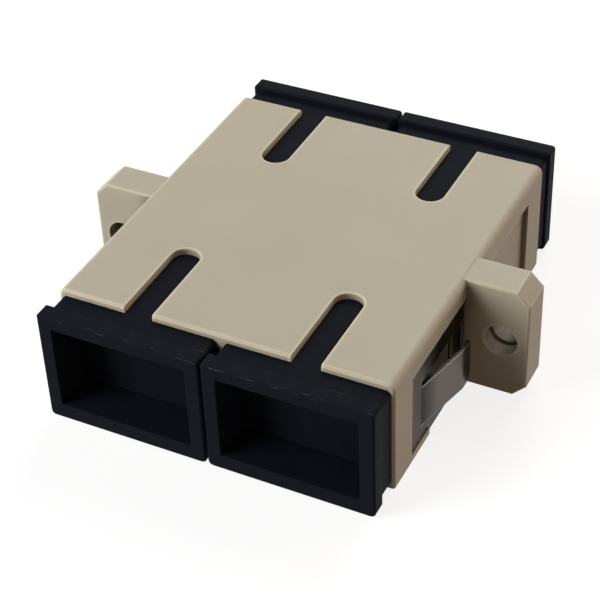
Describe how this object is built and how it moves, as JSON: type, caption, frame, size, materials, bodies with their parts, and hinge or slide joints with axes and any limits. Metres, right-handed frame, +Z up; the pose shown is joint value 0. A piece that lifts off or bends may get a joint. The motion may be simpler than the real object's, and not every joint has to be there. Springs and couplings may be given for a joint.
{
  "type": "fibre optic adapter",
  "caption": "Flat rectangular duplex fibre optic adapter with mounting ears, a sprung panel clip, open keyways and black push-in dust caps.",
  "frame": {"origin": "middle of the adapter, on the plane of its flat underside", "axes": "+X across both channels, +Y along the channels from the front ports to the rear ports, +Z up to the side with the keyways"},
  "size_m": [0.0346, 0.0336, 0.0093],
  "materials": {
    "housing": "moulded beige PBT, fine satin",
    "spring_steel": "rolled stainless spring strip",
    "dust_cap": "moulded black polyethylene, soft sheen",
    "carrier": "moulded natural engineering plastic",
    "sleeve": "turned phosphor bronze"
  },
  "bodies": {
    "adapter": {"housing": "housing", "retaining_clip": "spring_steel", "front_left_carrier": "carrier", "front_right_carrier": "carrier", "rear_left_carrier": "carrier", "rear_right_carrier": "carrier", "left_sleeve": "sleeve", "right_sleeve": "sleeve"},
    "front_left_cap": {"front_left_cap": "dust_cap"},
    "front_right_cap": {"front_right_cap": "dust_cap"},
    "rear_left_cap": {"rear_left_cap": "dust_cap"},
    "rear_right_cap": {"rear_right_cap": "dust_cap"}
  },
  "joints": [
    {"name": "front_left_pull", "type": "slide", "parent": "adapter", "child": "front_left_cap", "axis": [0, -1, 0], "range_m": [0, 0.012]},
    {"name": "front_right_pull", "type": "slide", "parent": "adapter", "child": "front_right_cap", "axis": [0, -1, 0], "range_m": [0, 0.012]},
    {"name": "rear_left_pull", "type": "slide", "parent": "adapter", "child": "rear_left_cap", "axis": [0, 1, 0], "range_m": [0, 0.012]},
    {"name": "rear_right_pull", "type": "slide", "parent": "adapter", "child": "rear_right_cap", "axis": [0, 1, 0], "range_m": [0, 0.012]}
  ]
}
